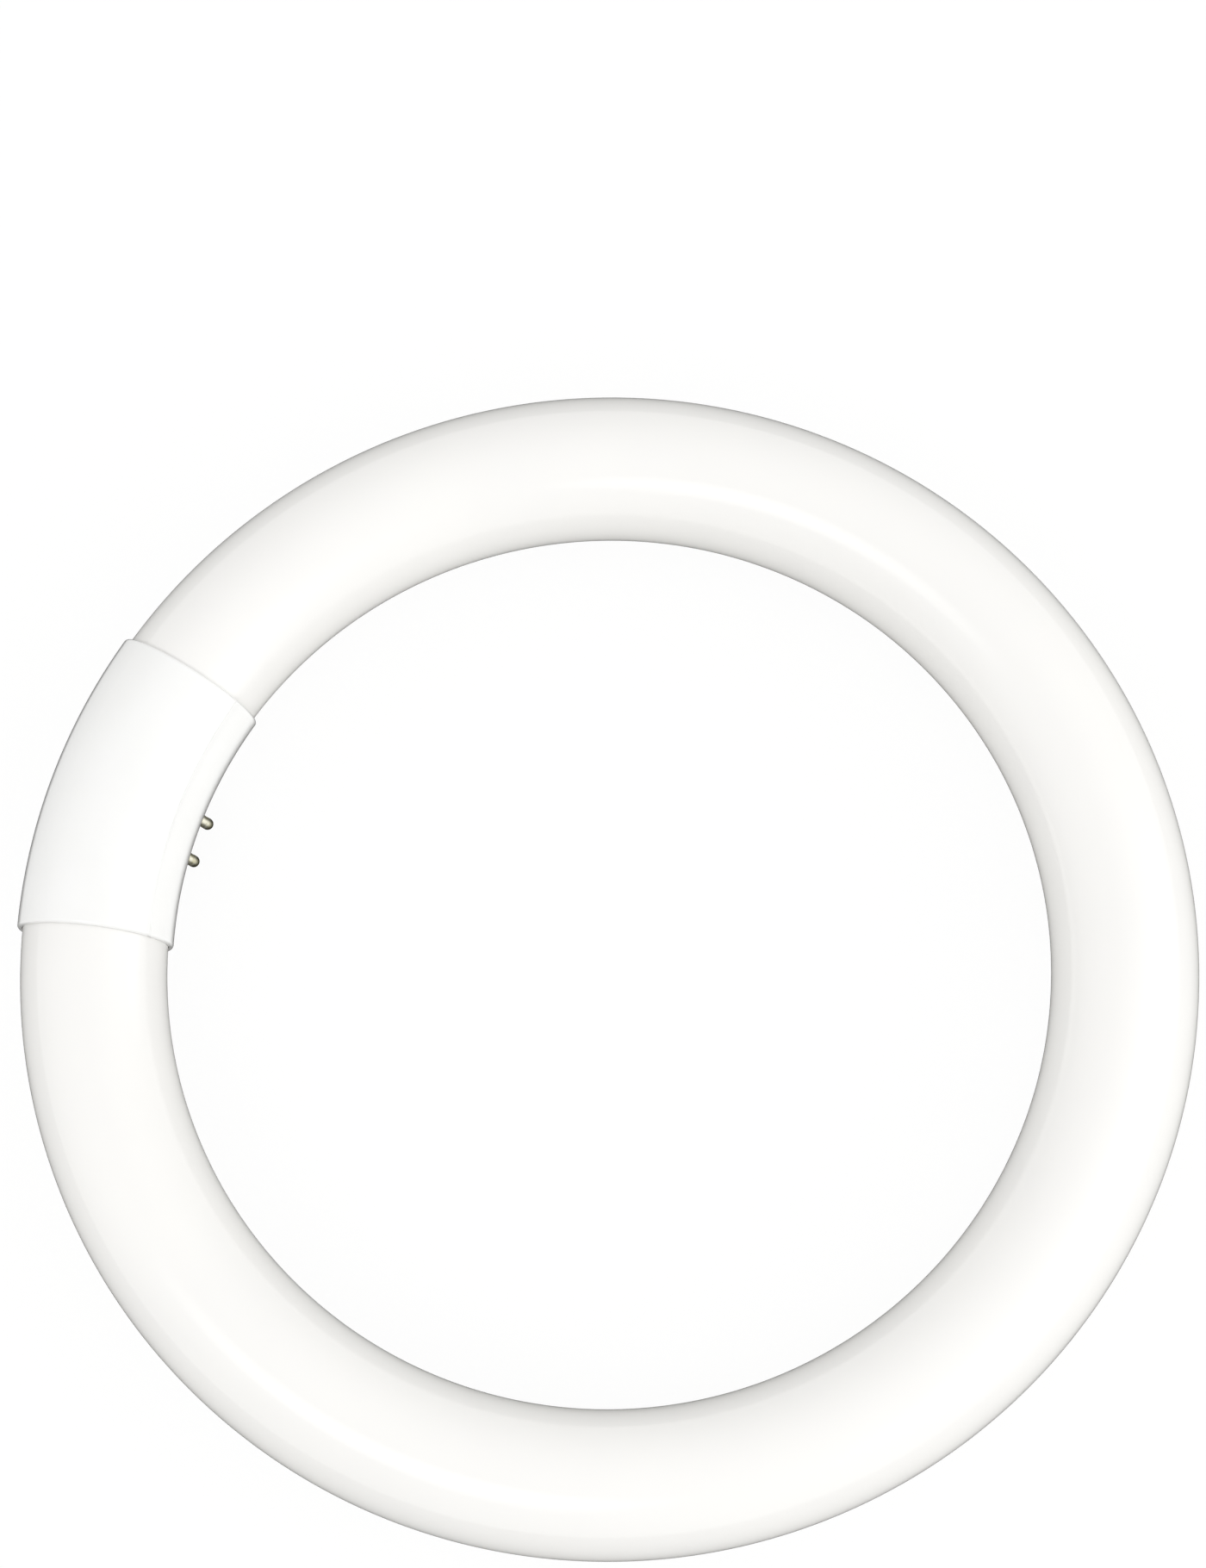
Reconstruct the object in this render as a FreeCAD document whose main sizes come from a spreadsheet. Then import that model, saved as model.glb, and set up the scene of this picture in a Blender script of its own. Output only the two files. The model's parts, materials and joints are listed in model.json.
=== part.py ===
"""Circular fluorescent lamp: a glass ring closed by a two-part plastic cap with four pins.

The ring's axis is Z and passes through the origin. The cap sits at -X, and its pins point
inwards and down. Z = 0 is the level of the lowest pin tip.
"""

import FreeCAD
import Part
import Sketcher

import os
from math import cos, hypot, pi, radians, sin

SIZES = {
    # Glass ring
    "ring_outer_d": 225.0,
    "glass_d": 28.0,
    "end_gap": 17.0,  # between the sealed ends, along the tube's centreline
    "shoulder_fillet": 4.5,
    # Re-entrant stem and tipped-off exhaust tube in each end
    "stem_mouth_d": 16.0,
    "stem_neck_d": 10.0,
    "stem_flare": 3.0,
    "stem_depth": 7.0,
    "exhaust_d": 3.0,
    "exhaust_reach": 3.0,
    # Cap, split along the tube into a cover and a base
    "cap_half_angle": 15.8,
    "cap_end_lean": 3.4,
    "cap_end_fillet": 0.6,
    "cap_wall": 0.85,
    "glass_clearance": 0.15,
    "pin_tilt": 60.0,  # pins below the ring's plane
    # Seam between the two halves
    "seam_lean": 8.5,  # from square to the pins
    "seam_chamfer": 0.12,
    "tongue_thickness": 0.35,
    "tongue_rise": 0.8,
    "seam_clearance": 0.05,
    # Ribs that space the sealed ends apart
    "rib_depth": 3.0,
    "rib_thickness": 1.2,
    "rib_clearance": 0.4,
    # Snap hooks on the cover and their catches on the base
    "hook_width": 5.0,
    "hook_thickness": 1.0,
    "hook_setback": 1.4,
    "hook_root": 3.0,
    "hook_bite": 0.5,
    "catch_height": 1.4,
    "nose_height": 1.2,
    "snap_clearance": 0.1,
    # Flat pad that the pins stand on
    "pad_rise": 0.3,
    "pad_width": 12.5,
    "pad_length": 21.0,
    "pad_corner": 2.0,
    # Contact pins, hollow and domed
    "pin_d": 2.35,
    "pin_exposed": 7.1,
    "pin_pitch_along": 7.92,
    "pin_pitch_across": 6.35,
    "pin_bore_d": 0.95,
    "pin_tip_wall": 0.6,
    "pin_collar_d": 3.4,
    "pin_collar_thickness": 0.6,
    "pin_tail": 0.8,
    "pin_shank_d": 2.7,  # where it is held in its boss
    "pin_clearance": 0.02,
    "boss_d": 4.4,
    "boss_depth": 3.2,
    # Lead wires and their sleeves
    "wire_d": 0.7,
    "wire_bend_r": 3.0,
    "wire_clearance": 0.5,
    "sleeve_wall": 0.4,
    "sleeve_slack": 0.05,
    "sleeve_in_stem": 1.5,
    "sleeve_clearance": 0.2,
}

CENTRELINE_R = "((dims.ring_outer_d - dims.glass_d) / 2)"
BORE_R = "(dims.glass_d / 2 + dims.glass_clearance)"
CAP_R = f"({BORE_R} + dims.cap_wall)"
PAD_TOP = f"({CAP_R} + dims.pad_rise)"
PIN_TIP = f"({PAD_TOP} + dims.pin_exposed)"
COLLAR_TOP = f"({PAD_TOP} - dims.boss_depth)"
PIN_TAIL = f"({COLLAR_TOP} - dims.pin_collar_thickness - dims.pin_tail)"
RIB_BORE_R = f"({BORE_R} - dims.rib_depth)"
GLASS_END_ANGLE = f"(dims.end_gap / 2 / {CENTRELINE_R} * 180 / pi)"
HALF_ALONG = "(dims.pin_pitch_along / 2)"
HALF_ACROSS = "(dims.pin_pitch_across / 2)"
# Turn about Y from straight up to the way the pins point, and to square to the cap's seam
TURN = "(90 + dims.pin_tilt)"
SEAM_TURN = f"({TURN} - dims.seam_lean)"
# The ring's plane above the lowest point of the lower pins' domed tips
RING_Z = (
    f"(({PIN_TIP} - dims.pin_d / 2) * sin(dims.pin_tilt)"
    f" + {HALF_ACROSS} * cos(dims.pin_tilt) + dims.pin_d / 2)"
)

# How near two measures in mm are when they count as equal
CLOSE = 1e-3


class Model:
    """The document, its sheet of sizes and the sub-parts made so far."""

    def __init__(self, sizes):
        self.doc = FreeCAD.newDocument("circular_lamp")
        self.sheet = self.doc.addObject("Spreadsheet::Sheet", "dims")
        for row, (alias, size) in enumerate(sizes.items(), start=1):
            self.sheet.set(f"A{row}", alias)
            self.sheet.set(f"B{row}", str(size))
            self.sheet.setAlias(f"B{row}", alias)
        self.doc.recompute()
        self.bodies = []

    def value(self, formula):
        """The number that a formula gives with the sheet's present sizes."""
        return float(self.sheet.evalExpression(formula))

    def body(self, name, x, z, y="0", yaw="0", pitch="0"):
        """A new body at (x, y, z) in the lamp's frame, its place given by formulas."""
        body = self.doc.addObject("PartDesign::Body", name)
        body.Label = name
        spot, turn = f"vector({x}; {y}; {z})", f"rotation({yaw}; {pitch}; 0)"
        body.setExpression("Placement", f"placement({spot}; {turn})")
        self.bodies.append(body)
        return body


def plane_of(body, role):
    """One of the body's own origin planes or axes."""
    return next(item for item in body.Origin.OriginFeatures if item.Role == role)


class Profile:
    """A sketch on one of its body's origin planes, with its sizes tied to the sheet."""

    # The sketcher's own numbers for its origin and its axes
    ORIGIN_ID, X_AXIS_ID, Y_AXIS_ID = (-1, 1), -1, -2

    def __init__(self, model, body, name, role, place=None):
        self.model = model
        self.sketch = body.newObject("Sketcher::SketchObject", name)
        self.sketch.AttachmentSupport = [(plane_of(body, role), "")]
        self.sketch.MapMode = "FlatFace"
        if place:
            self.sketch.setExpression("AttachmentOffset", place)

    def tie(self, kind, *where, formula):
        """Adds a dimension and binds it to a formula."""
        number = self.sketch.addConstraint(
            Sketcher.Constraint(kind, *where, self.model.value(formula))
        )
        self.sketch.setExpression(f"Constraints[{number}]", formula)

    def join(self, kind, *where):
        """Adds a constraint that has no size."""
        self.sketch.addConstraint(Sketcher.Constraint(kind, *where))

    def pin_down(self, geo, end, x, y):
        """Holds one end of a curve at (x, y)."""
        for formula, kind, axis in ((x, "DistanceX", self.Y_AXIS_ID), (y, "DistanceY", self.X_AXIS_ID)):
            if formula == "0":
                self.join("PointOnObject", geo, end, axis)
            else:
                self.tie(kind, *self.ORIGIN_ID, geo, end, formula=formula)

    def circle(self, diameter, x="0", y="0"):
        """A circle about (x, y)."""
        at = FreeCAD.Vector(self.model.value(x), self.model.value(y), 0)
        radius = self.model.value(diameter) / 2
        geo = self.sketch.addGeometry(Part.Circle(at, FreeCAD.Vector(0, 0, 1), radius))
        self.pin_down(geo, 3, x, y)
        self.tie("Diameter", geo, formula=diameter)

    def outline(self, corners, dome=None):
        """A closed outline through the corners. Side number dome is an arc about the Y axis."""
        spots = [FreeCAD.Vector(self.model.value(x), self.model.value(y), 0) for x, y in corners]
        sides = []
        for number, start in enumerate(spots):
            finish = spots[(number + 1) % len(spots)]
            if number == dome:
                radius = abs(start.x - finish.x)
                centre = FreeCAD.Vector(0, min(start.y, finish.y), 0)
                round_end = Part.Circle(centre, FreeCAD.Vector(0, 0, 1), radius)
                sides.append(self.sketch.addGeometry(Part.ArcOfCircle(round_end, 0, pi / 2)))
            else:
                sides.append(self.sketch.addGeometry(Part.LineSegment(start, finish)))
        for number, side in enumerate(sides):
            self.join("Coincident", side, 2, sides[(number + 1) % len(sides)], 1)
            self.pin_down(side, 1, *corners[number])
        if dome is not None:
            self.join("PointOnObject", sides[dome], 3, self.Y_AXIS_ID)

    def box(self, left, right, low, high):
        """An upright rectangle."""
        self.outline([(left, low), (right, low), (right, high), (left, high)])

    def half_disc(self, radius, upper):
        """Half a disc about the origin, above or below the X axis."""
        turn = 0 if upper else pi
        rim = Part.Circle(FreeCAD.Vector(), FreeCAD.Vector(0, 0, 1), self.model.value(radius))
        arc = self.sketch.addGeometry(Part.ArcOfCircle(rim, turn, turn + pi))
        start = self.sketch.getPoint(arc, 1)
        finish = self.sketch.getPoint(arc, 2)
        flat = self.sketch.addGeometry(Part.LineSegment(finish, start))
        self.join("Coincident", arc, 3, *self.ORIGIN_ID)
        self.join("Coincident", arc, 2, flat, 1)
        self.join("Coincident", flat, 2, arc, 1)
        self.join("PointOnObject", arc, 1, self.X_AXIS_ID)
        self.join("PointOnObject", arc, 2, self.X_AXIS_ID)
        self.tie("Radius", arc, formula=radius)

    def half_ring(self, inner, outer, upper):
        """Half a ring about the origin, above or below the X axis."""
        turn = 0 if upper else pi
        arcs = []
        for radius in (inner, outer):
            rim = Part.Circle(FreeCAD.Vector(), FreeCAD.Vector(0, 0, 1), self.model.value(radius))
            arc = self.sketch.addGeometry(Part.ArcOfCircle(rim, turn, turn + pi))
            self.join("Coincident", arc, 3, *self.ORIGIN_ID)
            self.join("PointOnObject", arc, 1, self.X_AXIS_ID)
            self.join("PointOnObject", arc, 2, self.X_AXIS_ID)
            self.tie("Radius", arc, formula=radius)
            arcs.append(arc)
        for end in (1, 2):
            start, finish = (self.sketch.getPoint(arc, end) for arc in arcs)
            flat = self.sketch.addGeometry(Part.LineSegment(start, finish))
            self.join("Coincident", flat, 1, arcs[0], end)
            self.join("Coincident", flat, 2, arcs[1], end)

    def bent_path(self, start, turn_at, bend_r, finish):
        """An open path: in along the X axis from start, round a bend and up at turn_at."""
        x0, x1 = self.model.value(start), self.model.value(turn_at)
        radius, top = self.model.value(bend_r), self.model.value(finish)
        bend = Part.Circle(FreeCAD.Vector(x1 + radius, radius, 0), FreeCAD.Vector(0, 0, 1), radius)
        run = self.sketch.addGeometry(
            Part.LineSegment(FreeCAD.Vector(x0, 0, 0), FreeCAD.Vector(x1 + radius, 0, 0))
        )
        arc = self.sketch.addGeometry(Part.ArcOfCircle(bend, pi, 1.5 * pi))
        rise = self.sketch.addGeometry(
            Part.LineSegment(FreeCAD.Vector(x1, radius, 0), FreeCAD.Vector(x1, top, 0))
        )
        self.pin_down(run, 1, start, "0")
        self.join("PointOnObject", run, 2, self.X_AXIS_ID)
        self.join("Tangent", run, 2, arc, 2)
        self.join("Tangent", arc, 1, rise, 1)
        self.tie("Radius", arc, formula=bend_r)
        self.join("Vertical", rise)
        self.pin_down(rise, 2, turn_at, finish)


def feature(body, kind, name, profile, **formulas):
    """Adds a sketched feature and binds its properties to formulas."""
    made = body.newObject(f"PartDesign::{kind}", name)
    made.Profile = profile.sketch
    for name_of_size, formula in formulas.items():
        made.setExpression(name_of_size, formula)
    return made


def turned(body, kind, name, profile, angle, about=None):
    """A revolution or groove, half of its angle to each side of its sketch."""
    made = feature(body, kind, name, profile, Angle=angle)
    made.ReferenceAxis = about or (plane_of(body, "Z_Axis"), [""])
    made.Midplane = True
    return made


def mirrored(body, name, originals):
    """Repeats features on the other side of the lamp's plane of symmetry."""
    made = body.newObject("PartDesign::Mirrored", name)
    made.Originals = originals
    made.MirrorPlane = (plane_of(body, "XZ_Plane"), [""])
    body.Tip = made
    return made


def rounded(model, body, kind, name, base, pick, size_name, formula):
    """A fillet or chamfer on the edges that pick accepts."""
    model.doc.recompute()
    edges = [f"Edge{n}" for n, edge in enumerate(base.Shape.Edges, start=1) if pick(edge)]
    if not edges:
        raise RuntimeError(f"{name} found no edges")
    made = body.newObject(f"PartDesign::{kind}", name)
    made.Base = (base, edges)
    made.setExpression(size_name, formula)
    return made


def glass_tube(model):
    """The bent glass tube with its rounded ends, re-entrant stems and sealed exhaust tips."""
    body = model.body("glass_tube", x="0", z=RING_Z)
    section = Profile(model, body, "GlassSection", "XZ_Plane")
    section.circle("dims.glass_d", x=CENTRELINE_R)
    ring = turned(body, "Revolution", "BentTube", section, f"360 - 2 * {GLASS_END_ANGLE}")

    glass_r = model.value("dims.glass_d / 2")

    def is_end_edge(edge):
        return hasattr(edge.Curve, "Radius") and abs(edge.Curve.Radius - glass_r) < CLOSE

    rounded(model, body, "Fillet", "Shoulders", ring, is_end_edge, "Radius", "dims.shoulder_fillet")

    at_end = f"180 - {GLASS_END_ANGLE}"
    centre = f"vector({CENTRELINE_R} * cos({at_end}); {CENTRELINE_R} * sin({at_end}); 0)"
    end_face = f"placement({centre}; rotation({at_end}; 0; 0))"
    hollow = Profile(model, body, "StemOutline", "XY_Plane", end_face)
    hollow.outline(
        [
            ("0", "-dims.stem_depth"),
            ("dims.stem_neck_d / 2", "-dims.stem_depth"),
            ("dims.stem_neck_d / 2", "-dims.stem_flare"),
            ("dims.stem_mouth_d / 2", "0"),
            ("dims.stem_mouth_d / 2", "dims.stem_flare"),
            ("0", "dims.stem_flare"),
        ]
    )
    stem = turned(body, "Groove", "Stem", hollow, "360", (hollow.sketch, ["V_Axis"]))
    exhaust_r = "dims.exhaust_d / 2"
    tip = Profile(model, body, "ExhaustOutline", "XY_Plane", end_face)
    tip.outline(
        [
            ("0", "-dims.stem_depth - dims.exhaust_d"),
            (exhaust_r, "-dims.stem_depth - dims.exhaust_d"),
            (exhaust_r, f"dims.exhaust_reach - {exhaust_r}"),
            ("0", "dims.exhaust_reach"),
        ],
        dome=2,
    )
    exhaust = turned(body, "Revolution", "Exhaust", tip, "360", (tip.sketch, ["V_Axis"]))
    mirrored(body, "OtherEnd", [stem, exhaust])


class CapHalf:
    """What the cover and the base share: a half-round shell that is bent along the ring."""

    # Across the tube's section: X to one seam, Y to the middle of the base
    SECTION = f"placement(vector(-{CENTRELINE_R}; 0; 0); rotation(vector(0; 0; 1); -{SEAM_TURN}))"
    SPAN = "2 * (dims.cap_half_angle + dims.cap_end_lean)"
    WALL_MID_R = f"({BORE_R} + dims.cap_wall / 2)"
    RIB_END = f"({GLASS_END_ANGLE} - dims.rib_clearance / {CENTRELINE_R} * 180 / pi)"
    RIB_START = f"({RIB_END} - dims.rib_thickness / {CENTRELINE_R} * 180 / pi)"
    # The hooks stand inside the bore, clear of its wall
    LEG_OUT = f"({BORE_R} - dims.hook_setback)"
    LEG_IN = f"({LEG_OUT} - dims.hook_thickness)"
    CATCH_LOW = "(dims.tongue_rise + dims.seam_clearance + dims.snap_clearance)"
    CATCH_TOP = f"({CATCH_LOW} + dims.catch_height)"

    def __init__(self, model, name, upper):
        self.model = model
        self.upper = upper
        self.body = model.body(name, x="0", z=RING_Z)

    def profile(self, name):
        """A sketch across the tube at the middle of the cap."""
        return Profile(self.model, self.body, name, "XZ_Plane", self.SECTION)

    def wall_x(self, y):
        """How far from the section's Y axis the middle of the wall is at height y."""
        return f"sqrt({self.WALL_MID_R}^2 - ({y})^2)"

    def section_spot(self, point):
        """A point of the body as (across, out), measured in the tube's section there."""
        turn = radians(self.model.value(SEAM_TURN))
        inward = self.model.value(CENTRELINE_R) - hypot(point.x, point.y)
        across = inward * cos(turn) - point.z * sin(turn)
        return across, inward * sin(turn) + point.z * cos(turn)

    def on_outside(self, point):
        """Whether a point lies on the cap's outer surface."""
        return abs(hypot(*self.section_spot(point)) - self.model.value(CAP_R)) < CLOSE

    def past_end(self, point):
        """How far a point lies beyond the nearer of the cap's two end planes."""
        half = radians(self.model.value("dims.cap_half_angle"))
        slope = half - radians(self.model.value("dims.cap_end_lean"))
        ring_r = self.model.value(CENTRELINE_R)
        dx, dy = point.x + ring_r * cos(half), abs(point.y) - ring_r * sin(half)
        return dx * sin(slope) + dy * cos(slope)

    def solid_form(self):
        """The half-round bar that the shell is hollowed from."""
        outside = self.profile("OutsideProfile")
        outside.half_disc(CAP_R, self.upper)
        return turned(self.body, "Revolution", "OutsideForm", outside, self.SPAN)

    def trim_ends(self):
        """Cuts both ends to planes that lean towards each other on the ring's outer side."""
        half = "(180 - dims.cap_half_angle)"
        centre = f"vector({CENTRELINE_R} * cos({half}); {CENTRELINE_R} * sin({half}); 0)"
        place = f"placement({centre}; rotation({half} + dims.cap_end_lean; 0; 0))"
        waste = Profile(self.model, self.body, "EndWaste", "XY_Plane", place)
        waste.box(f"-2 * {CAP_R}", f"2 * {CAP_R}", f"-{CAP_R}", "0")
        cut = feature(self.body, "Pocket", "TrimmedEnd", waste, Length=f"4 * {CAP_R}")
        cut.Midplane = True
        trimmed = mirrored(self.body, "TrimmedEnds", [cut])

        def is_end_edge(edge):
            spots = [edge.valueAt(at) for at in edge.ParameterRange]
            spots.append(edge.valueAt(sum(edge.ParameterRange) / 2))
            return all(self.on_outside(p) and abs(self.past_end(p)) < CLOSE for p in spots)

        def is_seam_edge(edge):
            middle = edge.valueAt(sum(edge.ParameterRange) / 2)
            return self.on_outside(middle) and abs(self.section_spot(middle)[1]) < CLOSE

        soft = rounded(
            self.model, self.body, "Fillet", "SoftEnds", trimmed, is_end_edge,
            "Radius", "dims.cap_end_fillet",
        )
        return rounded(
            self.model, self.body, "Chamfer", "SeamEdges", soft, is_seam_edge,
            "Size", "dims.seam_chamfer",
        )

    def hollow(self):
        """Bores the shell and leaves two ribs between the glass ends."""
        bore = self.profile("BoreProfile")
        bore.half_disc(BORE_R, self.upper)
        turned(self.body, "Groove", "Bore", bore, self.SPAN)
        rib = self.profile("RibProfile")
        rib.half_ring(RIB_BORE_R, self.WALL_MID_R, self.upper)
        turned(self.body, "Revolution", "Ribs", rib, f"2 * {self.RIB_END}")
        between = self.profile("BetweenRibs")
        between.half_disc(BORE_R, self.upper)
        turned(self.body, "Groove", "RibSpace", between, f"2 * {self.RIB_START}")


def cap_cover(model):
    """The cap's front half, with a tongue along each seam and two snap hooks."""
    half = CapHalf(model, "cap_cover", upper=False)
    half.solid_form()
    half.trim_ends()
    half.hollow()

    tongues = half.profile("TongueProfile")
    edge = f"({BORE_R} + dims.tongue_thickness)"
    for side in ("", "-"):
        tongues.box(f"{side}{BORE_R}", f"{side}{edge}", "-dims.tongue_rise", "dims.tongue_rise")
    turned(half.body, "Revolution", "Tongues", tongues, "2 * (dims.cap_half_angle - dims.cap_end_lean)")

    root_low = "(-dims.hook_root - dims.hook_thickness)"
    nose_low = f"({half.CATCH_TOP} + dims.snap_clearance)"
    nose_out = f"({half.LEG_OUT} + dims.snap_clearance + dims.hook_bite)"
    hooks = half.profile("HookProfile")
    for side in ("", "-"):
        hooks.outline(
            [
                (f"{side}{half.LEG_IN}", root_low),
                (f"{side}{half.wall_x(root_low)}", root_low),
                (f"{side}{half.wall_x(root_low)}", "-dims.hook_root"),
                (f"{side}{half.LEG_OUT}", "-dims.hook_root"),
                (f"{side}{half.LEG_OUT}", nose_low),
                (f"{side}{nose_out}", nose_low),
                (f"{side}{half.LEG_OUT}", f"{nose_low} + dims.nose_height"),
                (f"{side}{half.LEG_IN}", f"{nose_low} + dims.nose_height"),
            ]
        )
    legs = feature(half.body, "Pad", "Hooks", hooks, Length="dims.hook_width")
    legs.Midplane = True


def cap_base(model):
    """The cap's back half, with the flat pad, bosses and holes for the pins."""
    half = CapHalf(model, "cap_base", upper=True)
    half.solid_form()

    def across_pins(name, height):
        """A sketch square to the pins, at a height above the tube's centreline."""
        centre = f"vector(-{CENTRELINE_R} + ({height}) * sin({TURN}); 0; ({height}) * cos({TURN}))"
        place = f"placement({centre}; rotation(0; {TURN}; 0))"
        return Profile(model, half.body, name, "XY_Plane", place)

    low = f"{CAP_R} / 2"
    pad = across_pins("PadOutline", low)
    pad.box("-dims.pad_width / 2", "dims.pad_width / 2", "-dims.pad_length / 2", "dims.pad_length / 2")
    block = feature(half.body, "Pad", "PinPad", pad, Length=f"{PAD_TOP} - {low}")
    turn = radians(model.value(TURN))
    out = FreeCAD.Vector(sin(turn), 0, cos(turn))

    def is_corner(edge):
        line = edge.Curve
        return hasattr(line, "Direction") and abs(abs(line.Direction.dot(out)) - 1) < CLOSE

    rounded(model, half.body, "Fillet", "PadCorners", block, is_corner, "Radius", "dims.pad_corner")
    half.trim_ends()
    half.hollow()

    rebates = half.profile("RebateProfile")
    edge = f"({BORE_R} + dims.tongue_thickness + dims.seam_clearance)"
    for side in ("", "-"):
        rebates.box(
            f"{side}{RIB_BORE_R}", f"{side}{edge}", "0", "dims.tongue_rise + dims.seam_clearance"
        )
    turned(half.body, "Groove", "Rebates", rebates, half.SPAN)

    catches = half.profile("CatchProfile")
    for side in ("", "-"):
        catches.box(
            f"{side}({half.LEG_OUT} + dims.snap_clearance)",
            f"{side}{half.wall_x(half.CATCH_TOP)}",
            half.CATCH_LOW,
            half.CATCH_TOP,
        )
    ledges = feature(half.body, "Pad", "Catches", catches, Length="dims.hook_width")
    ledges.Midplane = True

    bosses = across_pins("BossCircles", COLLAR_TOP)
    holes = across_pins("HoleCircles", PAD_TOP)
    for across in ("-", ""):
        for along in ("-", ""):
            spot = {"x": f"{across}{HALF_ACROSS}", "y": f"{along}{HALF_ALONG}"}
            bosses.circle("dims.boss_d", **spot)
            holes.circle("dims.pin_shank_d + 2 * dims.pin_clearance", **spot)
    feature(half.body, "Pad", "Bosses", bosses, Length="dims.boss_depth - dims.pad_rise")
    feature(half.body, "Pocket", "PinHoles", holes, Length="dims.boss_depth + dims.pin_tail")


def pin_row(across):
    """The x and z of a row of pins, level with the tube's centreline."""
    return {
        "x": f"-{CENTRELINE_R} {across} {HALF_ACROSS} * cos({TURN})",
        "z": f"{RING_Z} - (0 {across} {HALF_ACROSS}) * sin({TURN})",
    }


def contact_pin(model, number, across, along):
    """A hollow pin with a domed tip, and a collar that sits against its boss."""
    body = model.body(
        f"contact_pin_{number}", y=f"0 {along} {HALF_ALONG}", pitch=TURN, **pin_row(across)
    )
    bore_r, pin_r, shank_r, collar_r = (
        f"dims.pin_{part} / 2" for part in ("bore_d", "d", "shank_d", "collar_d")
    )
    collar_low = f"{COLLAR_TOP} - dims.pin_collar_thickness"
    bore_top = f"{PIN_TIP} - dims.pin_tip_wall"
    half = Profile(model, body, "HalfSection", "XZ_Plane")
    half.outline(
        [
            (bore_r, PIN_TAIL),
            (pin_r, PIN_TAIL),
            (pin_r, collar_low),
            (collar_r, collar_low),
            (collar_r, COLLAR_TOP),
            (shank_r, COLLAR_TOP),
            (shank_r, PAD_TOP),
            (pin_r, PAD_TOP),
            (pin_r, f"{PIN_TIP} - {pin_r}"),
            ("0", PIN_TIP),
            ("0", bore_top),
            (bore_r, bore_top),
        ],
        dome=8,
    )
    turned(body, "Revolution", "TurnedPin", half, "360")


def lead(model, name, across, along, start, finish, rings):
    """A wire or sleeve from a glass end, round a bend and up into its pin.

    start is along the tube from the cap's middle, finish is up the pin, and rings are the
    diameters of the section's circles.
    """
    body = model.body(
        name,
        yaw="0" if along == "+" else "180",
        pitch=TURN if along == "+" else f"-{TURN}",
        **pin_row(across),
    )
    path = Profile(model, body, "Path", "YZ_Plane")
    path.bent_path(start, HALF_ALONG, "dims.wire_bend_r", finish)
    at_start = f"placement(vector(0; 0; -({start})); rotation(0; 0; 0))"
    section = Profile(model, body, "Section", "XZ_Plane", at_start)
    for diameter in rings:
        section.circle(diameter)
    pipe = feature(body, "AdditivePipe", "BentRun", section)
    pipe.Spine = (path.sketch, ["Edge1", "Edge2", "Edge3"])


def leads_and_pins(model):
    """The four pins, each with its wire and sleeve."""
    wire_start = (
        f"({CENTRELINE_R} * sin({GLASS_END_ANGLE})"
        f" + (dims.stem_depth - dims.wire_clearance) * cos({GLASS_END_ANGLE}))"
    )
    sleeve_start = f"({CENTRELINE_R} * sin({GLASS_END_ANGLE}) + dims.sleeve_in_stem)"
    sleeve_bore = "dims.wire_d + 2 * dims.sleeve_slack"
    corners = [("+", "+"), ("-", "+"), ("-", "-"), ("+", "-")]
    for number, (across, along) in enumerate(corners, start=1):
        contact_pin(model, number, across, along)
        lead(
            model, f"lead_wire_{number}", across, along,
            wire_start, f"{PIN_TIP} - dims.pin_tip_wall - dims.wire_clearance", ["dims.wire_d"],
        )
        lead(
            model, f"wire_sleeve_{number}", across, along,
            sleeve_start, f"{PIN_TAIL} - dims.sleeve_clearance",
            [f"{sleeve_bore} + 2 * dims.sleeve_wall", sleeve_bore],
        )


def check(model):
    """Stops if an object failed to build or a sub-part isn't one valid solid."""
    for item in model.doc.Objects:
        if {"Invalid", "Error"} & set(item.State):
            raise RuntimeError(f"{item.Name} failed: {item.State}")
    for body in model.bodies:
        shape = body.Shape
        if shape.isNull() or not shape.isValid() or len(shape.Solids) != 1:
            raise RuntimeError(f"{body.Label} isn't one valid solid")
        for item in body.Group:
            cuts = item.TypeId in ("PartDesign::Pocket", "PartDesign::Groove")
            if cuts and item.Shape.Volume >= item.BaseFeature.Shape.Volume - CLOSE:
                raise RuntimeError(f"{body.Label}: {item.Label} cuts nothing")


def write(model):
    """Writes each sub-part to its own STEP file."""
    os.makedirs("parts", exist_ok=True)
    for body in model.bodies:
        body.Shape.exportStep(f"parts/{body.Label}.step")
        box = body.Shape.BoundBox
        print(f"{body.Label}: {body.Shape.Volume:.1f} mm3, z {box.ZMin:.2f} to {box.ZMax:.2f}")


def main():
    """Builds, checks and writes the lamp."""
    model = Model(SIZES)
    glass_tube(model)
    cap_cover(model)
    cap_base(model)
    leads_and_pins(model)
    model.doc.recompute()
    check(model)
    write(model)


main()
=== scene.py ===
"""Looks of a circular fluorescent lamp: a coated glass ring, its split cap and its contact pins.

The lamp lies on a pale table, on its lower pins and the far side of its glass, and is seen
from above. Lengths are in metres.
"""

import json
import logging
import math
from dataclasses import dataclass
from enum import Enum
from typing import ClassVar

import bmesh
import bpy
import numpy as np
from mathutils import Matrix, Vector

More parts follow.
